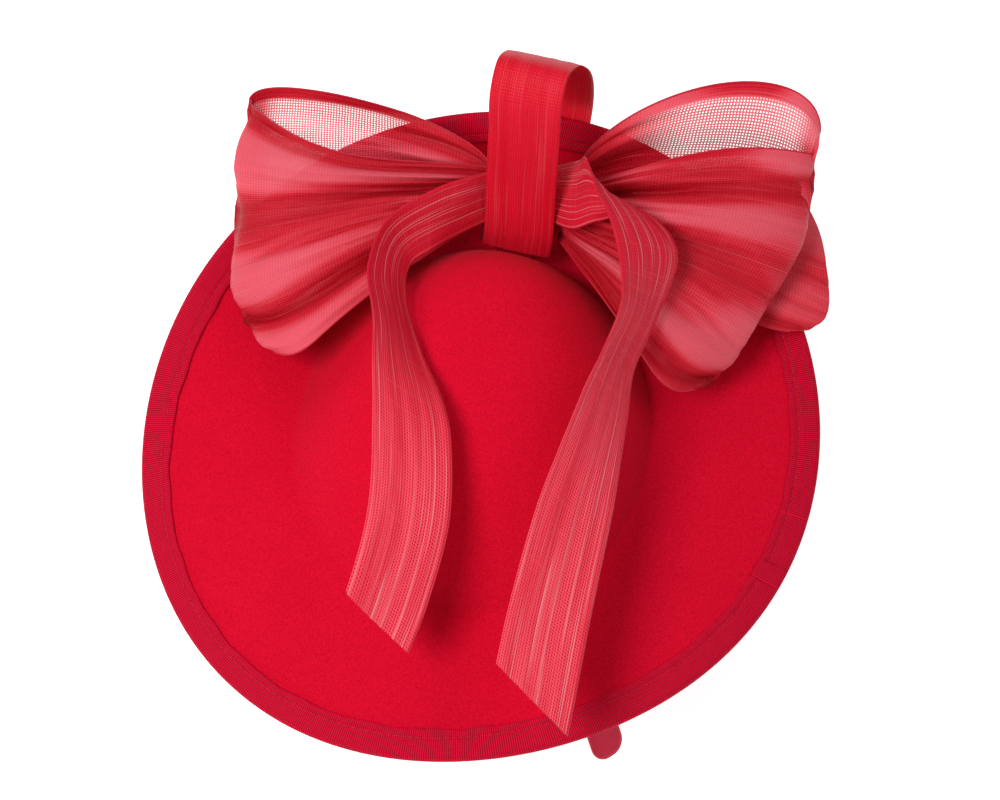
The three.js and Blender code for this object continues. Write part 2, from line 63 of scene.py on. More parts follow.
# ---------------------------------------------------------------- dimensions, millimetres
HAT_AT = np.array([6, 14, 15.4])  # the plate's centre in the frame, from which the sizes below are measured
PLATE_RADIUS, PLATE_OVAL = 137.5, 4.5
FELT_THICKNESS = 2.4
CROWN_CENTRE = np.array([-4.0, -1.0])
CROWN_HALF = np.array([71.5, 76.5])
CROWN_HEIGHT, CROWN_LEAN = 47.0, 12.0
EDGE_STRIP = 16.0
BINDING_WIDTH, BINDING_THICKNESS = 13.0, 0.7
BINDING_OUTER = FELT_THICKNESS / 2 + 0.5 + BINDING_THICKNESS
FELT_INSET = 3.25
JOIN_ANGLE = math.radians(-12)
BINDING_DIMPLE = 0.30  # how deep the line of stitches pulls the binding in
STITCH_INSET = 3.6  # from the binding's inner edge to its line of stitches
BASE_TOP, BASE_THICKNESS, BASE_LAP = -2.2, 2.0, 3.0
WRAP_CENTRE = np.array([-6.0, 91.0, 29.0])
WRAP_WIDTH, WRAP_LONG, WRAP_SHORT, WRAP_TILT = 30.0, 21.0, 10.0, math.radians(65)
KNOT_SPREAD = 1.6
BAND_TURN, BAND_TILT = math.radians(-42), math.radians(28)
BAND_RADIUS, BAND_LEG, BAND_ARCH = 68.0, 42.0, math.radians(88)
BAND_WIDTH, BAND_THICKNESS = 15.0, 3.0
FRONT_HINGE, BACK_HINGE = math.radians(62), math.radians(-16)
BAND_MEET = math.radians(23)  # where the two halves of the band's cover meet
TIP_LENGTH = 9.3
STRIP_THICKNESS = 1.15
HEM_WIDTH = 4.2

# A loop runs from the knot out to the fold at outer, and back behind. Both are curves from the top hem to
# the bottom one. front and back push its two layers apart, crest and lip shape them near the top hem, and
# drape and skirt near the bottom one.
LEFT_LOOP = dict(
    knot=[(-22, 97, 45), (-22, 92, 32), (-22, 85, 20)],
    outer=[(-123, 95, 55), (-120, 60, 33), (-112, 29, 18), (-89, -11, 14)],
    front=(0, -6, 12), back=(0, 7, -10), crest=(-6, 9, 11), drape=(0, -2, 22), fold=0.85,
    lip=(-2, -9, -3), skirt=(-5, -9, -3))
RIGHT_LOOP = dict(
    knot=[(10.5, 96, 45), (10.5, 91, 33), (10.5, 85, 22)],
    outer=[(105, 133, 52), (109, 98, 41), (95, 56, 23), (83, 17, 15)],
    front=(0, -6, 12), back=(0, 4, -8), crest=(4, 24, 34), drape=(0, -2, 14), fold=0.85,
    lip=(0, 6, 4), skirt=(3, -6, -1))
RIGHT_BACK_LOOP = dict(
    knot=[(10.5, 106, 33), (10.5, 104, 26), (10.5, 102, 19)],
    outer=[(95, 139, 32), (117, 109, 26), (126, 82, 19), (122, 60, 15)],
    front=(0, -1.4, 2.6), back=(0, 1.2, -1.8), crest=(0, 0, 0), drape=(0, 0, 0), fold=0.5,
    lip=(0, 0, 0), skirt=(0, 0, 0))
LOBE = 0.34
# Gathers across a loop: how many half waves, how high, and how far out from the knot they reach
GATHERS = ((2.6, 9.0, 1.20), (4.3, 7.5, 0.90), (7.7, 4.0, 0.62), (12.9, 1.8, 0.48))
# A strip's stations: a point of its middle line, and the half width there as a vector
LOOP_HALF = (14.5, 0, 0)
STANDING_LOOP = [(p, LOOP_HALF) for p in [
    (-5, 77, 18), (-5, 78, 34), (-7, 84, 58), (-9, 92, 84), (-11, 100, 102), (-11, 110, 108),
    (-9, 121, 100), (-6, 131, 82), (-4, 139, 60), (-3, 144, 36), (-3, 144, 17), (-3, 134, 6), (-3, 118, 4)]]
LEFT_TAIL = [
    ((-16.5, 88, 43), (0, -7, -9)), ((-28, 76, 48), (-1, -9.5, -9)), ((-38, 65, 52), (2, -9.5, -8)),
    ((-49, 50, 54), (6, -5, -9)), ((-49, 32, 55), (8, -1, -9)), ((-38, 4, 60), (10.5, 1, -9)),
    ((-24, -30, 59), (15, 3, -3)), ((-17, -62, 49), (15.8, 3, -2)), ((-18, -92, 34), (16, 3, -2)),
    ((-21, -111, 25), (16, 3, -2))]
RIGHT_TAIL = [
    ((5, 91.5, 47), (0, -8, -9)), ((15, 87, 58), (1.5, -11.5, -8)), ((22, 85, 69), (5, -8, -10)),
    ((34, 81, 72), (10, 3, -9)), ((48, 66, 69), (12, 5, -8)), ((51, 42, 63), (8, 4, -12)),
    ((48, 20, 57), (7, 3, -12)), ((47, 0, 53), (9.5, 2, -11)), ((45, -42, 48), (14.5, 3, -6)),
    ((45, -86, 40), (16, 4, -2)), ((47, -132, 29), (16, 5, -2))]
FOLD_STATION = 4  # where a tail leaves the knot's folds and hangs free
BEND_STATIONS = (3.6, 4.5)  # two stations at a tail's turn, where points of its middle line are taken


# ---------------------------------------------------------------- small maths

def unit(v):
    return v / np.maximum(np.linalg.norm(v, axis=-1, keepdims=True), 1e-12)


def smoothstep(a, b, x):
    t = np.clip((x - a) / (b - a), 0, 1)
    return t * t * (3 - 2 * t)


def curve(points, t):
    """A centripetal Catmull-Rom curve through the points, at the parameters t from 0 to 1."""
    p = np.asarray(points, float)
    n = len(p)
    p = np.vstack([2 * p[0] - p[1], p, 2 * p[-1] - p[-2]])
    t = np.clip(np.asarray(t, float), 0, 1) * (n - 1)
    i = np.minimum(t.astype(int), n - 2)
    w = (t - i)[..., None]
    p0, p1, p2, p3 = p[i], p[i + 1], p[i + 2], p[i + 3]

    def gap(a, b):
        d = np.sum((a - b) ** 2, -1, keepdims=True) ** 0.25
        return np.where(d < 1e-4, 1.0, d)

    d0, d1, d2 = gap(p0, p1), gap(p1, p2), gap(p2, p3)
    t1 = ((p1 - p0) / d0 - (p2 - p0) / (d0 + d1) + (p2 - p1) / d1) * d1
    t2 = ((p2 - p1) / d1 - (p3 - p1) / (d1 + d2) + (p3 - p2) / d2) * d1
    return (p1 + t1 * w + (-3 * p1 + 3 * p2 - 2 * t1 - t2) * w ** 2
            + (2 * p1 - 2 * p2 + t1 + t2) * w ** 3)


def grid_normals(p, wrap_u=False, wrap_v=False):
    def diff(axis, wrap):
        if wrap:
            return np.roll(p, -1, axis) - np.roll(p, 1, axis)
        return np.gradient(p, axis=axis)
    return unit(np.cross(diff(0, wrap_u), diff(1, wrap_v)))


def ripple(seed, x, y, terms=5, fx=(0.5, 3.0), fy=(0.5, 3.0)):
    """Smooth repeatable noise about -1 to 1: a sum of a few slanting sine waves."""
    rng = np.random.default_rng(seed)
    total = np.zeros(np.broadcast(x, y).shape)
    for _ in range(terms):
        kx, ky, ph = rng.uniform(*fx), rng.uniform(*fy), rng.uniform(0, TAU)
        total = total + np.sin(TAU * (kx * x + ky * y) + ph)
    return total / math.sqrt(terms)


def arc_length(p):
    """Distance along axis 0 of an array of points."""
    step = np.linalg.norm(np.diff(p, axis=0), axis=-1)
    return np.concatenate([np.zeros((1,) + step.shape[1:]), np.cumsum(step, 0)])


# ---------------------------------------------------------------- meshes

def to_row(p):
    """From the hat's own millimetres to the frame's metres."""
    return (np.asarray(p) + HAT_AT) * MM


def grid_object(name, p, uv=None, wrap_u=False, wrap_v=False, material=None, flat_ends=False):
    """A mesh on a grid of points in metres. wrap_u and wrap_v close it, flat_ends closes a flat tube's ends."""
    nu, nv = p.shape[:2]
    verts = p.reshape(-1, 3)
    i = np.arange(nu if wrap_u else nu - 1)[:, None]
    j = np.arange(nv if wrap_v else nv - 1)[None, :]
    i2, j2 = (i + 1) % nu, (j + 1) % nv
    quads = np.stack(np.broadcast_arrays(i * nv + j, i2 * nv + j, i2 * nv + j2, i * nv + j2), -1)
    if uv is not None:
        full = np.concatenate([uv, 2 * uv[-1:] - uv[-2:-1]], 0) if wrap_u else uv
        if wrap_v:
            full = np.concatenate([full, 2 * full[:, -1:] - full[:, -2:-1]], 1)
        stride = full.shape[1]
        a, b = i * stride + j, (i + 1) * stride + j
        corners = np.stack(np.broadcast_arrays(a, b, b + 1, a + 1), -1).reshape(-1, 4)
        flat_uv = full.reshape(-1, 2)[corners].reshape(-1, 2)
    faces = quads.reshape(-1, 4).tolist()
    if flat_ends:
        for base, step in ((0, 1), ((nu - 1) * nv, -1)):
            for k in range(nv // 2 - 1):
                quad = [base + k, base + k + 1, base + nv - 2 - k, base + nv - 1 - k]
                faces.append(quad[::step])
    mesh = bpy.data.meshes.new(name)
    mesh.from_pydata(verts.tolist(), [], faces)
    if uv is not None:
        layer = mesh.uv_layers.new(name="cloth")
        data = np.tile(flat_uv[0], (len(mesh.loops), 1))
        data[:len(flat_uv)] = flat_uv
        layer.data.foreach_set("uv", data.ravel())
    mesh.polygons.foreach_set("use_smooth", [True] * len(mesh.polygons))
    mesh.update()
    obj = bpy.data.objects.new(name, mesh)
    bpy.context.scene.collection.objects.link(obj)
    if material:
        mesh.materials.append(material)
    return obj


def join(name, objects):
    bpy.ops.object.select_all(action="DESELECT")
    for o in objects:
        o.select_set(True)
    bpy.context.view_layer.objects.active = objects[0]
    bpy.ops.object.join()
    objects[0].name = name
    return objects[0]


def tube_grid(path, radius, sides=8):
    """Points of a round tube round a path; radius may vary along it."""
    p = np.asarray(path, float)
    tangent = unit(np.gradient(p, axis=0))
    side = np.zeros_like(p)
    start = np.array([0, 0, 1.0]) if abs(tangent[0][2]) < 0.9 else np.array([1.0, 0, 0])
    side[0] = unit(np.cross(tangent[0], start))
    for k in range(1, len(p)):
        s = side[k - 1] - tangent[k] * np.dot(side[k - 1], tangent[k])
        side[k] = unit(s)
    up = np.cross(tangent, side)
    turn = np.linspace(0, TAU, sides, endpoint=False)
    r = np.broadcast_to(np.asarray(radius, float), (len(p),))[:, None, None]
    ring = np.cos(turn)[None, :, None] * side[:, None] + np.sin(turn)[None, :, None] * up[:, None]
    return p[:, None] + ring * r


def tube(name, path, radius, sides=8, material=None):
    """A round tube with rounded ends, in the units of the path."""
    p = np.asarray(path, float)
    first, last = unit(p[0] - p[1]) * radius, unit(p[-1] - p[-2]) * radius
    p = np.vstack([p[0] + first * 0.8, p[0] + first * 0.5, p, p[-1] + last * 0.5, p[-1] + last * 0.8])
    r = np.full(len(p), float(radius))
    r[[0, -1]] *= 0.12
    r[[1, -2]] *= 0.8
    return grid_object(name, tube_grid(p, r, sides), wrap_v=True, material=material)


# ---------------------------------------------------------------- materials

class Nodes:
    """A small wrapper for building a node material."""

    def __init__(self, name):
        self.material = bpy.data.materials.new(name)
        self.material.use_nodes = True
        self.tree = self.material.node_tree
        self.tree.nodes.clear()

    def add(self, kind, **inputs):
        node = self.tree.nodes.new("ShaderNode" + kind)
        for key, value in inputs.items():
            setattr(node, key, value)
        return node

    def put(self, node, socket, value):
        target = node.inputs[socket]
        if isinstance(value, bpy.types.NodeSocket):
            self.tree.links.new(value, target)
        elif hasattr(value, "outputs"):
            self.tree.links.new(value.outputs[0], target)
        else:
            target.default_value = value

    def math(self, operation, a, b=None, c=None):
        node = self.add("Math", operation=operation)
        for k, value in enumerate((a, b, c)):
            if value is not None:
                self.put(node, k, value)
        return node.outputs[0]

    def mix(self, factor, a, b):
        node = self.add("Mix", data_type="RGBA")
        self.put(node, "Factor", factor)
        self.put(node, 6, a)
        self.put(node, 7, b)
        return node.outputs[2]

    def noise(self, vector, scale, detail=2.0, roughness=0.5):
        node = self.add("TexNoise")
        self.put(node, "Vector", vector)
        self.put(node, "Scale", scale)
        self.put(node, "Detail", detail)
        self.put(node, "Roughness", roughness)
        return node.outputs["Fac"]

    def scaled(self, vector, factors):
        node = self.add("VectorMath", operation="MULTIPLY")
        self.put(node, 0, vector)
        self.put(node, 1, factors)
        return node.outputs[0]

    def remap(self, value, low, high, out_low=0.0, out_high=1.0):
        node = self.add("MapRange", interpolation_type="SMOOTHSTEP")
        for k, x in enumerate((value, low, high, out_low, out_high)):
            self.put(node, k, x)
        return node.outputs[0]

    def bump(self, height, distance, strength=1.0, normal=None):
        node = self.add("Bump")
        self.put(node, "Height", height)
        self.put(node, "Distance", distance)
        self.put(node, "Strength", strength)
        if normal is not None:
            self.put(node, "Normal", normal)
        return node.outputs[0]

    def finish(self, surface):
        out = self.add("OutputMaterial")
        self.put(out, "Surface", surface)
        return self.material


def principled(n, colour, roughness, normal=None, specular=0.4, sheen=0.0, sheen_tint=(1, 1, 1, 1),
               sheen_roughness=0.5, anisotropic=0.0, metallic=0.0):
    node = n.add("BsdfPrincipled")
    n.put(node, "Base Color", colour)
    n.put(node, "Roughness", roughness)
    n.put(node, "Specular IOR Level", specular)
    n.put(node, "Sheen Weight", sheen)
    n.put(node, "Sheen Roughness", sheen_roughness)
    n.put(node, "Sheen Tint", sheen_tint)
    n.put(node, "Anisotropic", anisotropic)
    n.put(node, "Metallic", metallic)
    if normal is not None:
        n.put(node, "Normal", normal)
    return node


WARP_PITCH, WEFT_PITCH, RIB_PITCH = 0.00095, 0.00125, 0.00092  # metres between threads


def felt_material():
    n = Nodes("wool_felt")
    at = n.add("TexCoord").outputs["Object"]
    fine = n.noise(at, 2400, 3, 0.65)
    nap = n.noise(at, 1150, 2, 0.6)
    cloud = n.noise(at, 45, 3, 0.5)
    grain = n.math("MULTIPLY_ADD", fine, 0.5, n.math("MULTIPLY", nap, 0.5))
    dark = (0.54, 0.0012, 0.016, 1)
    light = (0.74, 0.0045, 0.030, 1)
    colour = n.mix(n.remap(grain, 0.33, 0.67), dark, light)
    colour = n.mix(n.remap(cloud, 0.3, 0.7, 0.0, 0.14), colour, (0.55, 0.001, 0.018, 1))
    normal = n.bump(nap, 0.0004, 0.30, n.bump(fine, 0.0003, 0.35))
    return n.finish(principled(n, colour, 0.95, normal, 0.05, 0.10, (1.0, 0.25, 0.30, 1), 0.5))


def grosgrain_material():
    n = Nodes("grosgrain_ribbon")
    uv = n.add("UVMap", uv_map="cloth").outputs[0]
    at = n.add("TexCoord").outputs["Object"]
    part = n.add("SeparateXYZ")
    n.put(part, 0, uv)
    wobble = n.math("MULTIPLY", n.math("SUBTRACT", n.noise(at, 220, 1), 0.5), 0.00025)
    along = n.math("ADD", part.outputs[0], wobble)
    wave = n.math("SINE", n.math("MULTIPLY", along, TAU / RIB_PITCH))
    rib = n.math("MULTIPLY_ADD", wave, 0.5, 0.5)
    thread = n.noise(n.scaled(uv, (160, 2600, 1)), 1.0, 2)
    # the rib pattern with painted shade in the grooves: the colour runs from dark red between the ribs to the
    # ribbon's red on them
    colour = n.mix(n.remap(rib, 0.0, 0.75), (0.24, 0.0, 0.008, 1), (0.72, 0.002, 0.034, 1))
    colour = n.mix(n.remap(thread, 0.35, 0.7, 0.0, 0.25), colour, (0.74, 0.010, 0.05, 1))
    normal = n.bump(rib, 0.00030, 0.6, n.bump(thread, 0.0001, 0.3))
    return n.finish(principled(n, colour, 0.65, normal, 0.08, 0.0))


def weave_material(name, sheer, pink, base, streak, painted_light_ramp=0.0):
    """Silk and abaca weave. The cloth's UVs are metres, u lengthwise and v across. Where sheer is true, the
    mesh's "sheer" attribute says how far the gaps between threads are open, from 0 to 1, and its "ridge"
    attribute, 0 in a gathers' valley and up to 1.4 on a ridge, sets painted shade and a pale painted highlight."""
    n = Nodes(name)
    uv = n.add("UVMap", uv_map="cloth").outputs[0]
    sway = n.noise(n.scaled(uv, (26, 300, 1)), 1.0, 2)
    part = n.add("SeparateXYZ")
    n.put(part, 0, uv)
    u, v = part.outputs[0], part.outputs[1]
    shift = n.math("MULTIPLY", n.math("SUBTRACT", sway, 0.5), 0.0007)
    warp_phase = n.math("MULTIPLY", n.math("ADD", v, shift), TAU / WARP_PITCH)
    weft_phase = n.math("MULTIPLY", n.math("ADD", u, n.math("MULTIPLY", shift, 0.8)), TAU / WEFT_PITCH)
    warp = n.math("MULTIPLY_ADD", n.math("COSINE", warp_phase), 0.5, 0.5)
    weft = n.math("MULTIPLY_ADD", n.math("COSINE", weft_phase), 0.5, 0.5)
    slub = n.noise(n.scaled(uv, (11, 1250, 1)), 1.0, 2, 0.55)
    broad = n.noise(n.scaled(uv, (7, 170, 1)), 1.0, 2, 0.5)
    cross = n.noise(n.scaled(uv, (750, 30, 1)), 1.0, 2, 0.5)
    # partly the weave's own thread pattern, partly painted light: the thread crowns are mixed toward pale pink
    # as a painted highlight, and the gaps between them stay darker red as painted shade
    thread = n.math("MAXIMUM", n.remap(warp, 0.35, 0.8), n.remap(weft, 0.45, 0.85, 0.0, 0.8))
    bright = n.math("MULTIPLY", thread, n.remap(broad, 0.35, 0.65, 0.35, 0.75))
    # painted light: the ribbon is painted darker near its knot end and paler further along its length
    if painted_light_ramp:
        bright = n.math("MULTIPLY", bright, n.remap(u, 0.06, 0.17, 1.0 - painted_light_ramp, 1.0 + painted_light_ramp))
    colour = n.mix(bright, base, pink)
    colour = n.mix(n.remap(slub, 0.56, 0.68, 0.0, streak), colour, (0.92, 0.36, 0.38, 1))
    colour = n.mix(n.remap(cross, 0.55, 0.72, 0.0, 0.20), colour, pink)
    if sheer:
        # painted light: the ridge attribute mixes the colour toward painted shade in the gathers' valleys and
        # toward a pale painted highlight on the high ridges and the outer fold
        ridge = n.add("Attribute", attribute_name="ridge").outputs["Fac"]
        valley_shade = n.mix(0.3, (base[0] * 0.62, 0.0, base[2] * 0.4, 1), colour)
        colour = n.mix(ridge, valley_shade, colour)
        colour = n.mix(n.remap(ridge, 0.75, 1.4, 0.0, 0.50), colour, (0.95, 0.19, 0.25, 1))
    height = n.math("MULTIPLY_ADD", warp, 0.5, n.math("MULTIPLY", weft, 0.5))
    normal = n.bump(height, 0.00024, 0.65, n.bump(slub, 0.0003, 0.4))
    body = principled(n, colour, 0.36, normal, 0.15, 0.02, (1.0, 0.45, 0.48, 1), 0.35, 0.6)
    lengthwise = n.add("Tangent", direction_type="UV_MAP", uv_map="cloth")
    n.put(body, "Tangent", lengthwise.outputs[0])
    back = n.add("BsdfTranslucent")
    n.put(back, "Color", colour)
    cloth = n.add("MixShader")
    n.put(cloth, 0, 0.14)
    n.put(cloth, 1, body)
    n.put(cloth, 2, back)
    if not sheer:
        return n.finish(cloth.outputs[0])
    amount = n.add("Attribute", attribute_name="sheer").outputs["Fac"]
    hole = n.math("MULTIPLY", n.remap(warp, 0.62, 0.36), n.remap(weft, 0.58, 0.34))
    clear = n.math("MULTIPLY", n.math("MULTIPLY_ADD", hole, 0.88, 0.12), amount)
    empty = n.add("BsdfTransparent")
    gauze = n.add("MixShader")
    n.put(gauze, 0, clear)
    n.put(gauze, 1, cloth.outputs[0])
    n.put(gauze, 2, empty)
    return n.finish(gauze.outputs[0])


def satin_material():
    n = Nodes("satin")
    at = n.add("TexCoord").outputs["Object"]
    fine = n.noise(at, 1800, 2)
    soft = n.noise(at, 90, 2)
    colour = n.mix(n.remap(soft, 0.3, 0.7), (0.50, 0.001, 0.030, 1), (0.60, 0.002, 0.040, 1))
    normal = n.bump(fine, 0.0001, 0.25, n.bump(soft, 0.0006, 0.25))
    return n.finish(principled(n, colour, 0.4, normal, 0.12, 0.0, anisotropic=0.5))


def plain_material(name, colour, roughness, metallic=0.0):
    n = Nodes(name)
    at = n.add("TexCoord").outputs["Object"]
    grain = n.noise(at, 900, 2)
    darker = tuple(c * 0.88 for c in colour[:3]) + (1,)
    tint = n.mix(n.remap(grain, 0.3, 0.7), darker, colour)
    return n.finish(principled(n, tint, roughness, n.bump(grain, 0.0001, 0.4), metallic=metallic))


FELT = felt_material()
GROSGRAIN = grosgrain_material()
SHEER = weave_material("sheer_silk_abaca", True, (0.97, 0.045, 0.085, 1), (0.60, 0.001, 0.014, 1), 0.18)
STRIP = weave_material("double_silk_abaca", False, (0.98, 0.085, 0.13, 1), (0.70, 0.003, 0.026, 1), 0.60, 0.6)
UPRIGHT = weave_material("upright_silk_abaca", False, (0.92, 0.02, 0.05, 1), (0.72, 0.001, 0.018, 1), 0.12)
# painted shade: a darker copy of the ribbon's weave for the knot and the wrap in the bow's middle
SHADED_WEAVE = weave_material("shaded_gathered_silk_abaca", False, (0.62, 0.04, 0.07, 1), (0.40, 0.002, 0.014, 1), 0.15)
SATIN = satin_material()
THREAD = plain_material("sewing_thread", (0.60, 0.006, 0.030, 1), 0.6)
HEM = plain_material("rolled_hem", (0.58, 0.010, 0.035, 1), 0.5)
WIRE = plain_material("millinery_wire", (0.55, 0.55, 0.57, 1), 0.35, 0.9)
CORE = plain_material("band_core", (0.86, 0.84, 0.80, 1), 0.5)


# ---------------------------------------------------------------- the felt plate and crown

def edge_height(t):
    """How high the plate's edge stands at the angle t: it is up at the bow and down at the front."""
    return (25 * np.sin(t) - 5.5 * np.cos(2 * t) - 8 * np.sin(2 * t)
            + 1.5 * np.sin(3 * t) - 4.3 * np.cos(3 * t))


def crown_edge(t):
    """The crease where the crown meets the plate, a rounded square."""
    c, s = np.cos(t), np.sin(t)
    r = (np.abs(c) ** 2.2 + np.abs(s) ** 2.2) ** (-1 / 2.2)
    x, y = CROWN_CENTRE[0] + CROWN_HALF[0] * r * c, CROWN_CENTRE[1] + CROWN_HALF[1] * r * s
    return np.stack([x, y, 0 * t], -1)


def crown_point(t, share):
    """A point of the crown, share 0 at its top and 1 at its edge. It leans back and is steeper there."""
    backness = np.maximum(0, np.sin(t)) ** 1.5
    rise = np.maximum(0, 1 - share ** 2.5) ** (1.05 - 0.45 * backness)
    edge = crown_edge(t)
    x = CROWN_CENTRE[0] + (edge[..., 0] - CROWN_CENTRE[0]) * share
    y = CROWN_CENTRE[1] + (edge[..., 1] - CROWN_CENTRE[1]) * share + CROWN_LEAN * rise
    return np.stack([x, y, CROWN_HEIGHT * rise], -1)


def plate_outline(t):
    r = PLATE_RADIUS + PLATE_OVAL * np.sin(2 * t)
    return np.stack([r * np.cos(t), r * np.sin(t), 0 * t], -1)


def plate_point(t, share):
    """A point of the plate, share 0 at the crown and 1 at the edge."""
    share = np.broadcast_to(share, t.shape)
    p = crown_edge(t) * (1 - share[..., None]) + plate_outline(t) * share[..., None]
    p[..., 2] = edge_height(t) * np.maximum(share, 0) ** (1.3 + 0.3 * (1 + np.sin(t)))
    return p


def edge_frame(t):
    """The plate's edge at the angles t, where its outer strip starts, and the strip's two directions."""
    edge = plate_point(t, 1.0)
    width = np.linalg.norm(crown_edge(t) - plate_outline(t), axis=-1)
    strip = 1 - EDGE_STRIP / width
    out = unit(edge - plate_point(t, strip))
    along = unit(plate_point(t + 0.02, 1.0) - plate_point(t - 0.02, 1.0))
    return edge, strip, out, unit(np.cross(out, along))


def felt_body():
    segments, crown_rows, brim_rows, strip_rows = 288, 44, 36, 6
    t = np.linspace(0, TAU, segments, endpoint=False)
    edge, strip, out, _ = edge_frame(t)
    rows = [crown_point(t, np.sin(k / crown_rows * math.pi / 2)) for k in range(1, crown_rows + 1)]
    rows += [plate_point(t, strip * k / brim_rows) for k in range(1, brim_rows + 1)]
    inner = plate_point(t, strip)
    outer = edge - out * FELT_INSET
    rows += [inner + (outer - inner) * k / strip_rows for k in range(1, strip_rows + 1)]
    p = np.stack(rows, 1)
    # the blocked crease between crown and plate is a soft hollow curve
    near = np.exp(-((np.arange(p.shape[1]) - crown_rows + 1.0) / 5.0) ** 2)[None, :, None]
    for _ in range(9):
        mean = p.copy()
        mean[:, 1:-1] = (p[:, :-2] + p[:, 2:]) / 2
        p = p + (mean - p) * near * 0.55
    mid_t = t[:, None] + 0 * p[..., 0]
    reach = np.arange(p.shape[1])[None, :] / p.shape[1]
    unevenness = 0.28 * ripple(5, mid_t / TAU * 2, reach, 7, (1, 4), (0.5, 3)) * smoothstep(0.0, 0.25, reach)
    unevenness = unevenness * (1 - smoothstep(0.82, 0.9, reach))
    seam = 0.5 * (1 - np.cos(mid_t - t[0]))
    normal = grid_normals(p, wrap_u=True)
    normal = normal * np.sign(normal[:, -1:, 2:3])
    p = p + normal * (unevenness * np.minimum(1, seam * 40))[..., None]
    normal = grid_normals(p, wrap_u=True)
    normal = normal * np.sign(np.mean(normal[..., 2]))
    top = p + normal * FELT_THICKNESS / 2
    under = p - normal * FELT_THICKNESS / 2
    shell = np.concatenate([top, under[:, ::-1]], 1)
    peak = np.array([CROWN_CENTRE[0], CROWN_CENTRE[1] + CROWN_LEAN, CROWN_HEIGHT])
    body = grid_object("felt_plate_and_crown", to_row(shell), wrap_u=True, material=FELT)
    mesh = body.data
    count = shell.shape[1]
    verts = [tuple(to_row(peak + [0, 0, h])) for h in (FELT_THICKNESS / 2, -FELT_THICKNESS / 2)]
    coords = [tuple(v.co) for v in mesh.vertices] + verts
    faces = [tuple(f.vertices) for f in mesh.polygons]
    apex_top, apex_under = len(coords) - 2, len(coords) - 1
    for k in range(segments):
        k2 = (k + 1) % segments
        faces.append((apex_top, k2 * count, k * count))
        faces.append((apex_under, k * count + count - 1, k2 * count + count - 1))
    mesh.clear_geometry()
    mesh.from_pydata(coords, [], faces)
    mesh.polygons.foreach_set("use_smooth", [True] * len(mesh.polygons))
    mesh.update()
    return body


def ring_band(name, section, t, closed, material, waver):
    """A band swept round the plate. section is its closed outline, out and up, which waver then moves."""
    edge, _, out, up = edge_frame(t)
    x = np.broadcast_to(section[None, :, 0], (len(t), len(section))).copy()
    y = np.broadcast_to(section[None, :, 1], x.shape).copy()
    x, y = waver(t[:, None], x, y)
    p = edge[:, None] + out[:, None] * x[..., None] + up[:, None] * y[..., None]
    around = arc_length(np.vstack([edge, edge[:1]]))[:len(t)]
    across = arc_length(section)
    uv = np.stack(np.broadcast_arrays(around[:, None], across[None, :]), -1) * MM
    return grid_object(name, to_row(p), uv, wrap_u=closed, wrap_v=True, material=material)


def binding_section():
    """The ribbon folded over the edge: outside from the top inner edge to the lower one, then back inside."""
    width, outer = BINDING_WIDTH, BINDING_OUTER
    inner = outer - BINDING_THICKNESS
    flat = np.linspace(0, width - outer, 22)
    sag = BINDING_DIMPLE * np.exp(-((flat - STITCH_INSET) / 0.9) ** 2) + 0.28 * np.exp(-(flat / 0.5) ** 2)
    top = np.stack([-width + flat, outer - sag], -1)
    turn = np.radians(np.linspace(90, -90, 15))[1:-1]
    nose = np.stack([-outer + outer * np.cos(turn), outer * np.sin(turn)], -1)
    low = top[::-1] * [1, -1]
    inside_low = np.array([[-width + 0.1, -inner + 0.15], [-width + 3, -inner], [-outer, -inner]])
    nose_in = np.stack([-outer + inner * np.cos(turn[::-1]), inner * np.sin(turn[::-1])], -1)
    inside_top = inside_low[::-1] * [1, -1]
    return np.vstack([top, nose, low, inside_low, nose_in, inside_top])


def brim_binding():
    t = np.linspace(0, TAU, 900, endpoint=False)

    def waver(t, x, y):
        loose = smoothstep(-4, -BINDING_WIDTH, x)
        x = x + 0.22 * loose * (np.sin(31 * t + 1) + np.sin(53 * t) * 0.6)
        lift = 0.07 * (np.sin(43 * t + 2) + np.sin(71 * t) + 0.7 * np.sin(119 * t)) * smoothstep(-2, -12, x)
        return x, y + lift * np.sign(y)

    return ring_band("edge_binding", binding_section(), t, True, GROSGRAIN, waver)


def binding_join():
    half = 4.5 / PLATE_RADIUS
    t = np.linspace(JOIN_ANGLE - half, JOIN_ANGLE + half, 30)
    low, high = BINDING_OUTER + 0.12, BINDING_OUTER + 0.85
    x = np.linspace(-BINDING_WIDTH - 0.3, -0.6, 18)
    soften = 0.35 * (np.exp(-((x - x[0]) / 0.5) ** 2) + np.exp(-((x - x[-1]) / 0.5) ** 2))
    top = np.stack([x, high - soften], -1)
    under = np.stack([x[::-1], np.full(18, low)], -1)

    def waver(t, x, y):
        end = np.minimum(t - t.min(), t.max() - t) * PLATE_RADIUS
        return x, np.where(y > low + 0.01, y - 0.35 * np.exp(-(end / 0.6) ** 2), y)

    return ring_band("binding_overlap", np.vstack([top, under]), t, False, GROSGRAIN, waver)


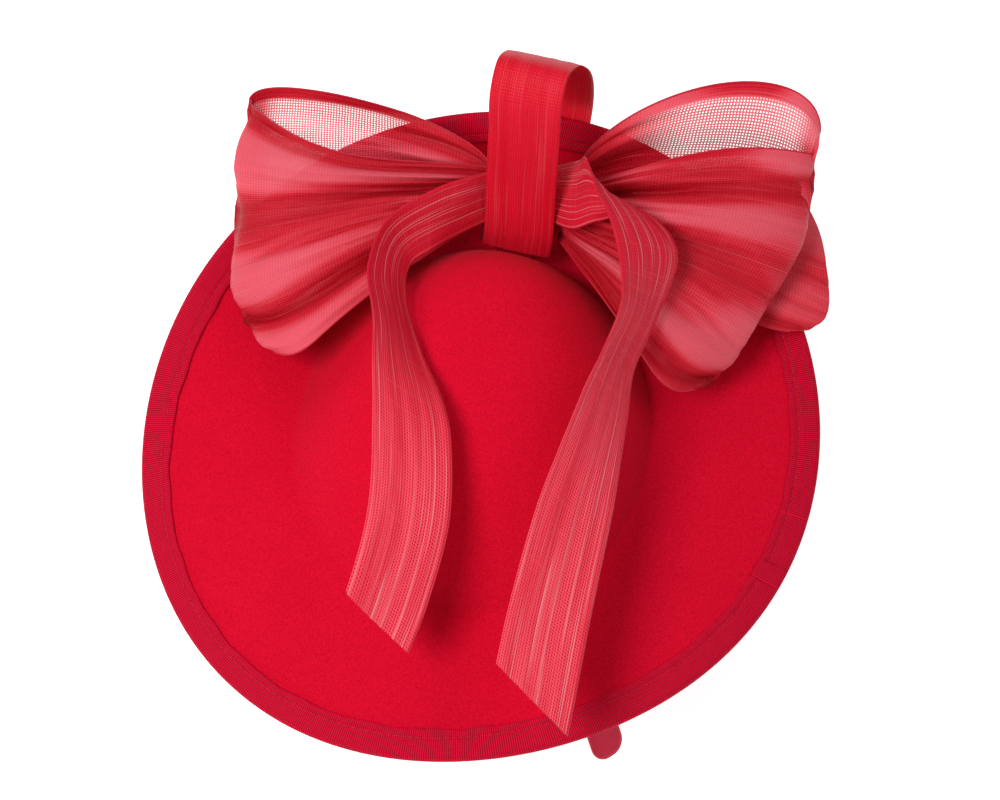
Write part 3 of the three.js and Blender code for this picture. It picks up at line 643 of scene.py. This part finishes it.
def binding_stitches():
    """A line of machine stitches along the binding's inner edge, on both faces."""
    edge = plate_outline(np.linspace(0, TAU, 721))
    length = arc_length(edge)[-1]
    count = int(length / 3.1)
    parts, quads = [], []
    for face in (1, -1):
        for k in range(count):
            centre = TAU * (k + 0.5) / count
            if abs((centre - JOIN_ANGLE + math.pi) % TAU - math.pi) < 0.045 and face > 0:
                continue
            half = 0.40 * TAU / count
            t = np.linspace(centre - half, centre + half, 5)
            e, _, out, up = edge_frame(t)
            rise = BINDING_OUTER - BINDING_DIMPLE + np.array([-0.10, 0.14, 0.20, 0.14, -0.10])
            path = e + out * (STITCH_INSET - BINDING_WIDTH) + up * (face * rise)[:, None]
            ring = to_row(tube_grid(path, 0.17, 5))
            base = sum(len(x) for x in parts)
            parts.append(ring.reshape(-1, 3))
            for i in range(4):
                for j in range(5):
                    a, b = base + i * 5 + j, base + i * 5 + (j + 1) % 5
                    quads.append((a, b, b + 5, a + 5))
            quads.append(tuple(base + j for j in range(5))[::-1])
            quads.append(tuple(base + 20 + j for j in range(5)))
    mesh = bpy.data.meshes.new("binding_stitches")
    mesh.from_pydata(np.vstack(parts).tolist(), [], quads)
    mesh.polygons.foreach_set("use_smooth", [True] * len(mesh.polygons))
    mesh.materials.append(THREAD)
    obj = bpy.data.objects.new("binding_stitches", mesh)
    bpy.context.scene.collection.objects.link(obj)
    return obj


def inner_base():
    t = np.linspace(0, TAU, 240, endpoint=False)
    edge = crown_edge(t)[:, :2]
    out = unit(edge - CROWN_CENTRE)
    high, low = BASE_TOP, BASE_TOP - BASE_THICKNESS
    rings = []
    for inset, z in [(60, high), (30, high), (2, high), (0.6, high - 0.15), (0, high - 0.7), (0, low + 0.7),
                     (0.6, low + 0.15), (2, low), (30, low), (60, low)]:
        xy = edge + out * (BASE_LAP - inset)
        rings.append(np.column_stack([xy, np.full(len(t), z)]))
    p = np.stack(rings, 1)
    p[:, 0, :2] = CROWN_CENTRE + (p[:, 0, :2] - CROWN_CENTRE) * 0.02
    p[:, -1, :2] = CROWN_CENTRE + (p[:, -1, :2] - CROWN_CENTRE) * 0.02
    return grid_object("crown_lining_disc", to_row(p), wrap_u=True, material=FELT)


def lining_stitches():
    """Slanting overcast stitches that hold the lining disc to the plate's underside."""
    objects = []
    for t in np.linspace(0, TAU, 88, endpoint=False):
        t = np.array([t, t + 0.018])
        edge = crown_edge(t)
        out = unit(edge - np.append(CROWN_CENTRE, 0))
        a = edge[0] + out[0] * (BASE_LAP - 3.4)
        b = edge[1] + out[1] * (BASE_LAP + 2.2)
        s = np.linspace(0, 1, 7)[:, None]
        path = a + (b - a) * s
        low = BASE_TOP - BASE_THICKNESS
        path[:, 2] = [low + 0.3, low - 0.15, low - 0.22, low - 0.2, low + 0.1, BASE_TOP - 0.6, BASE_TOP + 0.8]
        objects.append(tube("stitch", to_row(path), 0.24 * MM, 6, material=THREAD))
    return join("lining_stitches", objects)


# ---------------------------------------------------------------- the bow

def loop_surface(spec, u, v):
    """Points of a loop before its gathers. u runs out in front and back behind, and v from top to bottom."""
    along = (1 - np.cos(TAU * u)) / 2
    # the ribbon's bottom corner is rounded, so that the loop ends in a lobe
    a, b = np.clip((along - 1 + LOBE) / LOBE, 0, 1), np.clip((v - 1 + LOBE) / LOBE, 0, 1)
    along = along - LOBE * a * (1 - np.sqrt(1 - b * b / 2))
    v = v - LOBE * b * (1 - np.sqrt(1 - a * a / 2))
    knot, outer = curve(spec["knot"], v), curve(spec["outer"], v)
    p = knot + (outer - knot) * along[..., None]
    swing = np.sin(TAU * u)
    depth = np.sign(swing) * np.abs(swing) ** spec["fold"]
    slack = 0.35 + 0.65 * np.sin(math.pi * v)
    slack_front = slack + 0.30 * (1 - v) ** 3
    front, back, crest, drape = (np.array(spec[k], float) for k in ("front", "back", "crest", "drape"))
    p = p + unit(front) * (np.cos(math.pi * u) * KNOT_SPREAD)[..., None]
    is_front = (u < 0.5)[..., None]
    p = p + np.where(is_front, front * (depth * slack_front)[..., None],
                     back * (-depth * slack)[..., None] + crest * (-depth * (1 - v) ** 3)[..., None])
    lip, skirt = np.array(spec["lip"], float), np.array(spec["skirt"], float)
    belly = np.where(u < 0.5, np.sin(math.pi * along ** 1.3), 0.0)
    p = p + lip * (belly * (1 - v) ** 3)[..., None] + skirt * (belly * v ** 3)[..., None]
    return p + drape * (np.sin(math.pi * along) * v * v)[..., None]


def pleats(seed, along, v, side):
    """Height of the gathers: deep and narrow at the knot, fanning out into a few broad soft folds."""
    rng = np.random.default_rng(seed)
    drift = 0.035 * ripple(seed, along, v, 4, (0.2, 0.9), (0.6, 1.8))
    w = v + drift * smoothstep(0, 0.5, along)
    total = 0
    for count, height, reach in GATHERS:
        phase = math.pi * count * w + rng.uniform(0, math.pi)
        phase = phase + 0.35 * np.sin(2.1 * along + rng.uniform(0, TAU))
        ridge = np.abs(np.sin(phase)) ** 0.7 - 0.62
        fade = np.exp(-(along / reach) ** 2) * smoothstep(-0.10, 0.28, along)
        total = total + height * ridge * fade
    fine = 0.22 * np.sin(TAU * 19 * w + 6 * np.sin(3 * along)) * (1 - 0.5 * along)
    wide = 2.2 * ripple(seed + 7 + side, along, v, 5, (0.1, 0.8), (0.9, 2.8))
    return total + fine + wide * smoothstep(0.15, 0.85, along)


def bow_loop(name, spec, seed, width, depth):
    """One loop of the bow, its two hems and its length. depth scales the gathers."""
    rows, columns = 260, 150
    u, v = np.meshgrid(np.linspace(0, 1, rows), np.linspace(0, 1, columns), indexing="ij")
    along = (1 - np.cos(TAU * u)) / 2
    p = loop_surface(spec, u, v)
    shared = pleats(seed, along, v, 0)
    own_front, own_back = pleats(seed + 20, along, v, 1), pleats(seed + 40, along, v, 2)
    part = smoothstep(0.12, 0.6, along) * smoothstep(0.98, 0.70, along)
    front_share = smoothstep(0.56, 0.44, u)
    own = own_front * front_share + own_back * (1 - front_share)
    height = shared * (1 - 0.55 * part) + own * 0.55 * part
    rim = smoothstep(0, 0.05, v) * smoothstep(1, 0.95, v)
    normal = grid_normals(p)
    front = unit(np.array(spec["front"], float))
    facing = normal * np.tanh(3 * np.sum(normal * front, -1, keepdims=True))
    direction = unit(facing * 0.6 + front * 0.8)
    p = p + direction * (height * depth * (0.45 + 0.55 * rim))[..., None]
    length = arc_length(p[:, columns // 2])
    uv = np.stack([np.broadcast_to(length[:, None], u.shape), v * width], -1) * MM
    cloth = grid_object(name, to_row(p), uv, material=SHEER)
    # the back layer is open gauze near its top hem and close elsewhere; hems and gathers are closed
    behind = smoothstep(0.58, 0.63, u)
    window = (1 - behind) * 0.16 + behind * (smoothstep(0.62, 0.40, v) + 0.2 * smoothstep(0.40, 0.62, v))
    knot_end = smoothstep(0.12, 0.45, along)
    from_hem = np.minimum(v, 1 - v) * width / HEM_WIDTH
    sheer = np.clip(window, 0, 1) * knot_end * smoothstep(0.96, 1.04, from_hem)
    # painted light: ridge rises with the gathers' height and toward the outer fold, for painted shade in the
    # valleys and a painted highlight on the ridges and the outer fold
    ridge = 0.45 + height * depth / (7.5 - 3.5 * along) + 0.42 * smoothstep(0.5, 0.95, along)
    for label, values in (("sheer", sheer), ("ridge", np.clip(ridge, 0, 1.4))):
        attribute = cloth.data.attributes.new(label, "FLOAT", "POINT")
        attribute.data.foreach_set("value", values.ravel())
    hems = [tube(name + "_hem", to_row(p[:, k]), 0.34 * MM, 8, material=HEM) for k in (0, -1)]
    return cloth, join(name + "_hems", hems), float(length[-1])


def wrap_frame(turn, x, long, short):
    """Points of the oval wrap at the angles turn, with the half axes long and short."""
    c, s = math.cos(WRAP_TILT), math.sin(WRAP_TILT)
    a, b = long * np.cos(turn), short * np.sin(turn)
    return np.stack([x, WRAP_CENTRE[1] + a * c - b * s, WRAP_CENTRE[2] + a * s + b * c], -1)


def centre_wrap():
    """The ribbon wound round the bow's middle, with creases that run round it."""
    turn = np.linspace(0, TAU, 160, endpoint=False)[:, None]
    s = np.linspace(-1, 1, 60)[None, :]
    crease = 0.45 * np.sin(15 * s + 0.8 * np.sin(turn * 2 + 1))
    crease = crease + 0.30 * np.sin(27 * s + 1.4 * np.sin(turn + 2))
    r = crease * (1 - np.abs(s) ** 8) - 0.9 * np.abs(s) ** 14
    x = WRAP_CENTRE[0] + s * WRAP_WIDTH / 2 + 0.5 * np.sin(3 * turn) * s
    outer = wrap_frame(turn, x, WRAP_LONG - 0.5 + r, WRAP_SHORT - 0.5 + r)
    inner = wrap_frame(turn, x, WRAP_LONG - 1.6 + r, WRAP_SHORT - 1.6 + r)
    p = np.concatenate([outer, inner[:, ::-1]], 1)
    around = arc_length(np.vstack([outer[:, 30], outer[:1, 30]]))[:-1]
    across = np.concatenate([s[0] * WRAP_WIDTH / 2, s[0][::-1] * WRAP_WIDTH / 2 + 100])
    uv = np.stack(np.broadcast_arrays(around[:, None], across[None, :]), -1) * MM
    return grid_object("centre_wrap_cloth", to_row(p), uv, wrap_u=True, wrap_v=True, material=SHADED_WEAVE)


def bow_knot():
    """The gathered middle of the bow: pleats that fan a little where they leave the wrap."""
    s = np.linspace(-1, 1, 50)[:, None]
    turn = np.linspace(0, TAU, 180, endpoint=False)[None, :]
    fold = 0.75 * np.sin(13 * turn + 0.6 * s) + 0.4 * np.sin(23 * turn + 1.3 * s)
    swell = 0.80 + 0.20 * (1 - np.abs(s) ** 3)
    x = WRAP_CENTRE[0] + s * (WRAP_WIDTH / 2 - 0.3) + 0 * turn
    p = wrap_frame(turn, x, (WRAP_LONG - 2.4) * swell + fold, (WRAP_SHORT - 2.4) * swell + fold * 0.8)
    ends = [np.array([WRAP_CENTRE[0] + e * (WRAP_WIDTH / 2 - 0.6), *WRAP_CENTRE[1:]]) for e in (-1, 1)]
    first, last = ends[0] + (p[:1] - ends[0]) * 0.02, ends[1] + (p[-1:] - ends[1]) * 0.02
    p = np.concatenate([first, p, last], 0)
    around = np.linspace(0, 90, 180)
    along = np.concatenate([[-20], s[:, 0] * 15, [20]])
    uv = np.stack(np.broadcast_arrays(along[:, None], around[None, :]), -1) * MM
    return grid_object("gathered_knot", to_row(p), uv, wrap_v=True, material=SHADED_WEAVE)


# ---------------------------------------------------------------- strips

def strip_cloth(name, stations, t, seed, material, crumple=0.5):
    """A flat tube of ribbon, folded at both edges, and its length and width. t is an array (rows, columns) of
    shares of that length."""
    rows, cols = t.shape
    v = np.linspace(0, 1, cols)[None, :] * np.ones((rows, 1))
    middle = curve([p for p, _ in stations], t)
    half = curve([h for _, h in stations], t)
    x = 2 * v - 1
    surface = middle + half * x[..., None]
    normal = grid_normals(surface)
    length = arc_length(surface[:, cols // 2])
    along = (length / 60.0)[:, None] + 0 * v
    wave = crumple * ripple(seed, along, v, 5, (0.2, 1.3), (0.0, 0.8))
    folds = 0.16 * np.sin(TAU * 4.3 * v + 1.5 * np.sin(along * 2 + seed))
    folds = folds * np.abs(ripple(seed + 3, along, v, 3, (0.4, 1), (0, 0.4)))
    surface = surface + normal * (wave + folds)[..., None]
    plump = np.sqrt(np.maximum(0, 1 - np.abs(x) ** 6)) * (0.55 + 0.45 * np.sin(math.pi * v))
    plump = np.maximum(STRIP_THICKNESS / 2 * plump, 0.10)
    top = surface + normal * plump[..., None]
    under = surface - normal * plump[..., None]
    loop = np.concatenate([top, under[:, ::-1]], 1)
    width = float(np.mean(np.linalg.norm(half, axis=-1))) * 2
    across = np.concatenate([v[0] * width, width + (1 - v[0][::-1]) * width])
    uv = np.stack(np.broadcast_arrays(length[:, None], across[None, :]), -1) * MM
    cloth = grid_object(name, to_row(loop), uv, wrap_v=True, material=material, flat_ends=True)
    return cloth, float(length[-1]), width


def tail(side, stations, cut, seed):
    """A hanging ribbon whose end is cut at a slant, cut millimetres longer at one edge than at the other."""
    fold = FOLD_STATION / (len(stations) - 1)
    length = arc_length(curve([p for p, _ in stations], np.linspace(0, 1, 200)))[-1]
    slant = cut / length
    v = np.linspace(0, 1, 25)[None, :]
    near = np.linspace(0, fold, 70, endpoint=False)[:, None] + 0 * v
    u = np.linspace(0, 1, 190)[:, None]
    far = fold + (1 - fold - slant / 2) * u + slant * (v - 0.5) * u
    return strip_cloth(f"{side}_ribbon_tail", stations, np.clip(np.vstack([near, far]), 0, 1), seed, STRIP)


# ---------------------------------------------------------------- the headband

def band_point(angle, beyond, lift, across):
    """A point of the band, in row metres: angle round its arch, beyond along its straight leg."""
    radius = BAND_RADIUS + lift
    drop = BAND_RADIUS * math.cos(math.radians(2))
    sign = np.sign(angle)
    x = radius * np.sin(angle) + sign * np.cos(angle) * beyond
    z = radius * np.cos(angle) - drop - sign * np.sin(angle) * beyond
    x, y, z = np.broadcast_arrays(x, across, z)
    ct, st, cw, sw = math.cos(BAND_TILT), math.sin(BAND_TILT), math.cos(BAND_TURN), math.sin(BAND_TURN)
    x1, z1 = x * ct - z * st, x * st + z * ct
    return np.stack([x1 * cw - y * sw, x1 * sw + y * cw, z1], -1) * MM


def band_half(name, sign):
    """Half of the covered band, from where the halves meet to its rounded tip."""
    arch = np.linspace(BAND_MEET, sign * BAND_ARCH, 110 if sign > 0 else 170)
    leg = np.linspace(0, BAND_LEG, 36)[1:]
    tip = TIP_LENGTH * np.sin(np.linspace(0, math.pi / 2, 22))[1:]
    angle = np.concatenate([arch, np.full(len(leg) + len(tip), sign * BAND_ARCH)])
    beyond = np.concatenate([np.zeros(len(arch)), leg, BAND_LEG + tip])
    into_tip = np.clip((beyond - BAND_LEG) / TIP_LENGTH, 0, 1)
    width = BAND_WIDTH / 2 * np.sqrt(np.maximum(0.0004, 1 - into_tip ** 2.3))
    thick = BAND_THICKNESS / 2 * np.maximum(0.02, (1 - into_tip ** 7)) ** 0.5
    turn = np.linspace(0, TAU, 48, endpoint=False)
    cx = np.sign(np.cos(turn)) * np.abs(np.cos(turn)) ** 0.42
    cz = np.sign(np.sin(turn)) * np.abs(np.sin(turn)) ** 0.75
    across = width[:, None] * cx[None, :]
    lift = BAND_THICKNESS / 2 + thick[:, None] * cz[None, :]
    safe_angle = np.where(np.abs(angle) < 1e-4, 1e-4, angle)
    p = band_point(safe_angle[:, None], beyond[:, None], lift, across)
    return grid_object(name, p, wrap_v=True, material=SATIN)


def band_tack(k, angle):
    """Three strands of thread that come down beside the band and cross its inner face."""
    a = math.radians(angle)
    side = BAND_WIDTH / 2 + 0.55
    corners = [(-side, 3.0), (-side - 0.1, 1.4), (-side + 0.1, 0.1), (-side + 1.2, -0.36), (0, -0.42),
               (side - 1.2, -0.36), (side - 0.1, 0.1), (side + 0.1, 1.4), (side, 3.0)]
    path = curve([(across, lift, 0) for across, lift in corners], np.linspace(0, 1, 40))
    strands = []
    for s in (-0.42, 0.0, 0.42):
        p = band_point(a + s * 1.1 / BAND_RADIUS + 0 * path[:, 0], 0.0, path[:, 1], path[:, 0])
        strands.append(tube("strand", p, 0.24 * MM, 6, material=THREAD))
    return join(f"band_stitch_{k}", strands)


def bar_tack(name, x, y, low, high):
    """Three twisted strands that stand upright at x and y."""
    s = np.linspace(0, 1, 12)
    strands = []
    for k in range(3):
        a = TAU * k / 3 + 3 * s
        path = np.stack([x + 0.26 * np.cos(a), y + 0.26 * np.sin(a), low + (high - low) * s], -1)
        strands.append(tube("strand", to_row(path), 0.22 * MM, 6, material=THREAD))
    return join(name, strands)


# ---------------------------------------------------------------- assembly

def place(obj, slot, *nodes):
    """Fixes an object to the root body and hides the frame's nodes that it stands for. slot is not used."""
    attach(obj, "root")
    if nodes:
        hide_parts(*nodes)
    return obj


felt = place(felt_body(), "felt", "felt_body")
place(inner_base(), "felt", "inner_base")
place(lining_stitches(), "thread")
place(brim_binding(), "grosgrain", "brim_binding")
place(binding_join(), "grosgrain", "binding_join")
place(binding_stitches(), "thread")

for name, spec, seed, width, depth, node, flat_width in (
        ("left_bow_loop", LEFT_LOOP, 11, 125, 1.0, "left_loop", 0.098),
        ("right_bow_loop", RIGHT_LOOP, 23, 125, 1.0, "right_loop", 0.098),
        ("right_back_bow_loop", RIGHT_BACK_LOOP, 37, 100, 0.45, "right_back_loop", 0.060)):
    cloth, hems, length = bow_loop(name, spec, seed, width, depth)
    place(cloth, "silk_abaca", node)
    place(hems, "silk_abaca")

place(bow_knot(), "silk_abaca", "bow_knot")
wrap = place(centre_wrap(), "silk_abaca", "centre_wrap")

t = np.linspace(0, 1, 260)[:, None] + np.zeros((1, 25))
loop, length, width = strip_cloth("standing_ribbon_loop", STANDING_LOOP, t, 3, UPRIGHT, 0.35)
place(loop, "silk_abaca", "standing_loop")

for side, stations, cut, seed in (("left", LEFT_TAIL, 26, 5), ("right", RIGHT_TAIL, 16, 8)):
    strip, length, width = tail(side, stations, cut, seed)
    bend = curve([p for p, _ in stations], np.array(BEND_STATIONS) / (len(stations) - 1))
    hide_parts(f"{side}_tail_fold", f"{side}_tail")
    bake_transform(strip)

for leg, sign, hinge in (("front", 1, FRONT_HINGE), ("back", -1, BACK_HINGE)):
    half = band_half(f"covered_band_{leg}", sign)
    nodes = [f"headband_sleeve_{leg}", f"headband_tip_{leg}"]
    if sign > 0:
        nodes.append("headband_sleeve_centre")
    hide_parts(*nodes)
    reach = math.radians(6)
    start = band_point(np.array(hinge - sign * reach), 0.0, 1.5, 0.0)
    end = band_point(np.array(hinge + sign * reach), 0.0, 1.5, 0.0)
    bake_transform(half)

for k, angle in enumerate((14, 28, 42), 1):
    place(band_tack(k, angle), "thread", f"headband_tack_{k}")
for k, side in ((1, -1), (2, 1)):
    bow_x, loop_x = WRAP_CENTRE[0] + side * WRAP_WIDTH / 4, STANDING_LOOP[-1][0][0] + side * LOOP_HALF[0] / 2
    place(bar_tack(f"bow_stitch_{k}", bow_x, 82, 1.2, 9), "thread", f"bow_tack_{k}")
    place(bar_tack(f"loop_stitch_{k}", loop_x, 121, 4.4, 13), "thread", f"loop_tack_{k}")

for node, material in (("edge_wire", WIRE), ("wire_joiner", WIRE), ("headband_core_centre", CORE),
                       ("headband_core_front", CORE), ("headband_core_back", CORE)):
    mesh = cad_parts[node].data
    mesh.materials.clear()
    mesh.materials.append(material)

# ---------------------------------------------------------------- floor, lights and camera

FLOOR_SIZE, FLOOR_GAP = 40, 0.001
CAMERA_DISTANCE = 1.25
scene = bpy.context.scene
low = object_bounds()[0]
bpy.ops.mesh.primitive_plane_add(size=FLOOR_SIZE, location=(0, 0, low[2] - FLOOR_GAP))
floor = bpy.context.object
floor.name = "floor"
n = Nodes("pale_floor")
base = principled(n, (0.86, 0.86, 0.86, 1), 0.9)
n.put(base, "Emission Color", (1, 1, 1, 1))
n.put(base, "Emission Strength", 0.70)
from_below = n.add("NewGeometry").outputs["Backfacing"]
clear = n.add("BsdfTransparent")
either = n.add("MixShader")
n.put(either, 0, from_below)
n.put(either, 1, base)
n.put(either, 2, clear)
floor.data.materials.append(n.finish(either))

world = bpy.data.worlds.new("studio")
scene.world = world
world.use_nodes = True
world.node_tree.nodes["Background"].inputs[0].default_value = (1, 1, 1, 1)
world.node_tree.nodes["Background"].inputs[1].default_value = 0.30

LIT_POINT = Vector((0.006, 0.014, 0.03))
for name, at, size, watts in (
        ("key", (-0.50, -0.55, 1.10), 0.60, 12.5),
        ("fill", (0.8, 0.25, 1.0), 0.9, 2.5),
        ("rim", (-0.65, 0.75, 0.9), 0.8, 3.0)):
    data = bpy.data.lights.new(name, "AREA")
    data.shape = "DISK"
    data.size = size
    data.energy = watts
    light = bpy.data.objects.new(name, data)
    scene.collection.objects.link(light)
    light.location = LIT_POINT + Vector(at)
    light.rotation_euler = (-Vector(at)).to_track_quat("-Z", "Y").to_euler()

forward = Vector((-0.0566, 0.4028, -0.9135)).normalized()
right = Vector((0.9716, 0.2330, 0.0425))
right = (right - forward * right.dot(forward)).normalized()
up = right.cross(forward)
camera_data = bpy.data.cameras.new("camera")
camera_data.lens = 109.76
camera_data.sensor_width = 36
camera_data.shift_x = 0.017
camera_data.shift_y = 0.035
camera_data.clip_start = 0.05
camera = bpy.data.objects.new("camera", camera_data)
scene.collection.objects.link(camera)
turn = Matrix((right, up, -forward)).transposed()
camera.matrix_world = Matrix.Translation(Vector(HAT_AT * MM) - forward * CAMERA_DISTANCE) @ turn.to_4x4()
scene.camera = camera
scene.view_settings.view_transform = "Standard"
scene.view_settings.look = "None"

bpy.context.view_layer.update()
